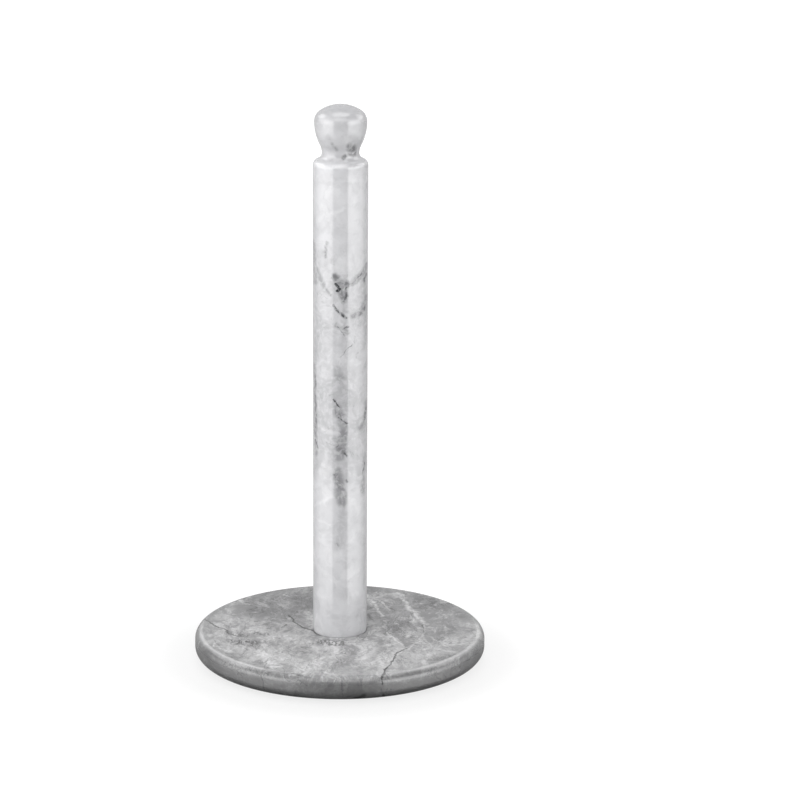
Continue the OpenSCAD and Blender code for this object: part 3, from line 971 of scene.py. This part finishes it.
def adhesive_tape():
    """Off-white double-sided tape."""
    material, tree, shader, place = new_material("adhesive tape")
    cloudy = clouds(tree, place, 1.5, 0.3, 0.7)
    colour = blend(tree, cloudy, (0.74, 0.72, 0.66, 1), (0.82, 0.81, 0.77, 1))
    connect(tree, shader, Base_Color=colour, Roughness=ramp(tree, cloudy, 0.0, 1.0, 0.5, 0.65),
            Normal=bump(tree, cloudy, 0.00002))
    return material


GREY_MARBLE = grey_marble()
WHITE_MARBLE = white_marble()
ZINC = plated_steel("zinc plated steel", (0.56, 0.57, 0.6), 0.34)
SPRING_STEEL = plated_steel("spring steel", (0.3, 0.31, 0.33), 0.42)
RESIN = cast_resin()
SILICONE = clear_silicone()
FIBRE = red_fibre()
RUBBER = black_rubber()
TAPE = adhesive_tape()


# ---------------------------------------------------------------- pieces

def place_piece(piece, material, body, slot, *replaced):
    """Gives a new piece its finish, its body and the nodes it stands for."""
    piece.data.materials.clear()
    piece.data.materials.append(material)
    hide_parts(*replaced)
    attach(piece, body)


def dress(name, material):
    """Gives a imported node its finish."""
    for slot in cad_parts[name].material_slots:
        slot.material = material


place_piece(lathe("marble_base", base_outline(), closed=True, segments=384),
            GREY_MARBLE, "root", "grey_marble", "base")
place_piece(lathe("marble_post", post_outline(), segments=256),
            WHITE_MARBLE, "root", "white_marble", "post")
place_piece(threaded_rod("steel_stud"), ZINC, "root", "zinc_plated_steel", "threaded_stud")
place_piece(threaded_nut("thin_nut"), ZINC, "root", "zinc_plated_steel", "jam_nut")
place_piece(split_washer("split_washer"), SPRING_STEEL, "root", "spring_steel", "spring_washer")

steel_ring = rounded_ring(washer_hole_r, washer_high.x, washer_low.z, washer_high.z, 0.2 * MM)
fibre_ring = rounded_ring(washer_hole_r, cushion_high.x, cushion_low.z, cushion_high.z, 0.1 * MM)
place_piece(lathe("steel_washer", steel_ring, closed=True),
            ZINC, "root", "zinc_plated_steel", "flat_washer")
place_piece(lathe("fibre_washer", fibre_ring, closed=True),
            FIBRE, "root", "red_fibre", "cushion_washer")

pad_edge_r, pad_dish, tape_edge_r = 0.4 * MM, 0.12 * MM, 0.06 * MM
for number in range(1, 5):
    pad = disc_at(f"rubber_pad_{number}", f"foot_pad_{number}", pad_edge_r, pad_dish)
    place_piece(pad, RUBBER, "root", "black_rubber", f"foot_pad_{number}")
    tape = disc_at(f"tape_disc_{number}", f"pad_tape_{number}", tape_edge_r)
    place_piece(tape, TAPE, "root", "adhesive_tape", f"pad_tape_{number}")

dress("stud_resin", RESIN)
dress("foot_gasket", SILICONE)


# ---------------------------------------------------------------- studio

def make_floor():
    """The floor. The camera sees it near white, and whiter still away from the object. The light
    it bounces is that of a mid grey, and mirror reflections leave it out."""
    half_width = 12
    mesh = bmesh.new()
    corners = [mesh.verts.new((x * half_width, y * half_width, 0))
               for x, y in ((-1, -1), (1, -1), (1, 1), (-1, 1))]
    mesh.faces.new(corners)
    floor = finish_mesh("studio_floor", mesh)
    material = bpy.data.materials.new("studio white")
    material.use_nodes = True
    tree = material.node_tree
    shader = tree.nodes["Principled BSDF"]
    shader.inputs["Roughness"].default_value = 0.6
    place = node(tree, "ShaderNodeTexCoord").outputs["Object"]
    away = vector_maths(tree, "LENGTH", place, out=1)
    seen = node(tree, "ShaderNodeLightPath").outputs["Is Camera Ray"]
    bounced, under_glow = (0.58, 0.58, 0.58, 1), (0.08, 0.08, 0.08, 1)
    tree.links.new(blend(tree, seen, bounced, under_glow), shader.inputs["Base Color"])
    glow = maths(tree, "MULTIPLY", seen, ramp(tree, away, 0.09, 0.14, 0.81, 1.0))
    shader.inputs["Emission Color"].default_value = (1, 1, 1, 1)
    tree.links.new(glow, shader.inputs["Emission Strength"])
    floor.data.materials.append(material)
    floor.visible_glossy = False


def soft_light(name, place, size, brightness, downward=False):
    """A rectangular soft light, which shines down, or else level towards the post's axis. At a
    brightness of 1 its face is as bright as white paper."""
    light = bpy.data.lights.new(name, "AREA")
    light.shape = "RECTANGLE"
    light.size, light.size_y = size
    light.energy = math.pi * size[0] * size[1] * brightness
    lamp = bpy.data.objects.new(name, light)
    lamp.location = place
    if not downward:
        away = Vector((place[0], place[1], 0))
        lamp.rotation_euler = away.to_track_quat("Z", "Y").to_euler()
    bpy.context.scene.collection.objects.link(lamp)


def make_lights():
    """Three soft lights that face down from above, and three upright ones round the holder."""
    soft_light("front_softbox", (0, -1.2, 1.3), (1.6, 1.2), 2.7, downward=True)
    soft_light("side_softbox", (-1.3, 0, 1.3), (1.2, 1.4), 1.25, downward=True)
    soft_light("top_softbox", (0, 0, 1.6), (1.0, 1.0), 3.2, downward=True)
    soft_light("left_edge_panel", (-1.1, 0.5, 1.1), (0.8, 0.8), 2.6)
    soft_light("right_edge_panel", (1.1, 0.5, 1.1), (0.8, 0.8), 2.6)
    soft_light("fill_panel", (-0.84, -0.48, 0.46), (1.05, 0.88), 0.65)


def make_world():
    """White for the camera, and a dimmer even fill. Polished faces mirror two tall panels at the
    sides and a dim glow at the back, and nothing else of it."""
    fill = 0.52
    world = bpy.data.worlds.new("studio")
    world.use_nodes = True
    tree = world.node_tree
    tree.nodes.clear()
    toward = node(tree, "ShaderNodeTexCoord").outputs["Generated"]
    part = node(tree, "ShaderNodeSeparateXYZ", {0: toward}).outputs
    # Degrees round from the front, to the right.
    turn = maths(tree, "ARCTAN2", part[0], maths(tree, "MULTIPLY", part[1], -1.0))
    turn = maths(tree, "MULTIPLY", turn, 180 / math.pi)
    left = maths(tree, "MULTIPLY", ramp(tree, turn, -34.0, -30.0, 1.0, 0.0),
                 ramp(tree, turn, -140.0, -70.0, 0.0, 2.7))
    right = maths(tree, "MULTIPLY", ramp(tree, turn, 30.0, 34.0, 0.0, 1.0),
                  ramp(tree, turn, 55.0, 140.0, 3.7, 0.0))
    panels = maths(tree, "ADD", left, right)
    # The panels fade out high up and far below, and are brighter above the horizon.
    panels = maths(tree, "MULTIPLY", panels, ramp(tree, part[2], 0.3, 0.7, 1.0, 0.0))
    panels = maths(tree, "MULTIPLY", panels, ramp(tree, part[2], -0.6, -0.4, 0.1, 1.0))
    panels = maths(tree, "MULTIPLY", panels, ramp(tree, part[2], -0.22, 0.05, 1.0, 1.7))
    behind = maths(tree, "MULTIPLY", ramp(tree, part[1], 0.3, 0.8, 0.0, 1.0),
                   ramp(tree, part[2], -0.1, 0.15, 0.5, 0.6))
    mirrored = maths(tree, "MAXIMUM", panels, behind)
    path = node(tree, "ShaderNodeLightPath").outputs
    strength = ramp(tree, path["Is Camera Ray"], 0.0, 1.0, fill, 1.0, "LINEAR")
    glossy = maths(tree, "MULTIPLY", path["Is Glossy Ray"], maths(tree, "SUBTRACT", mirrored, fill))
    strength = maths(tree, "ADD", strength, glossy)
    background = node(tree, "ShaderNodeBackground", {"Color": (1, 1, 1, 1), "Strength": strength})
    out = node(tree, "ShaderNodeOutputWorld")
    tree.links.new(background.outputs[0], out.inputs[0])
    bpy.context.scene.world = world


def make_camera():
    """A long lens in front of the holder and above it, tilted down, with a slight turn and roll."""
    stand = (0, -1.751, 0.623)
    tilt_down, turn_right, roll = (math.radians(angle) for angle in (15.09, 1.094, 0.363))
    data = bpy.data.cameras.new("camera")
    data.sensor_width = 36
    data.lens = 145.8
    camera = bpy.data.objects.new("camera", data)
    camera.matrix_world = (
        Matrix.Translation(stand)
        @ Matrix.Rotation(-turn_right, 4, "Z")
        @ Matrix.Rotation(math.pi / 2 - tilt_down, 4, "X")
        @ Matrix.Rotation(roll, 4, "Z")
    )
    bpy.context.scene.collection.objects.link(camera)
    bpy.context.scene.camera = camera


make_floor()
make_lights()
make_world()
make_camera()
bpy.context.scene.view_settings.view_transform = "Standard"
bpy.context.scene.view_settings.look = "None"
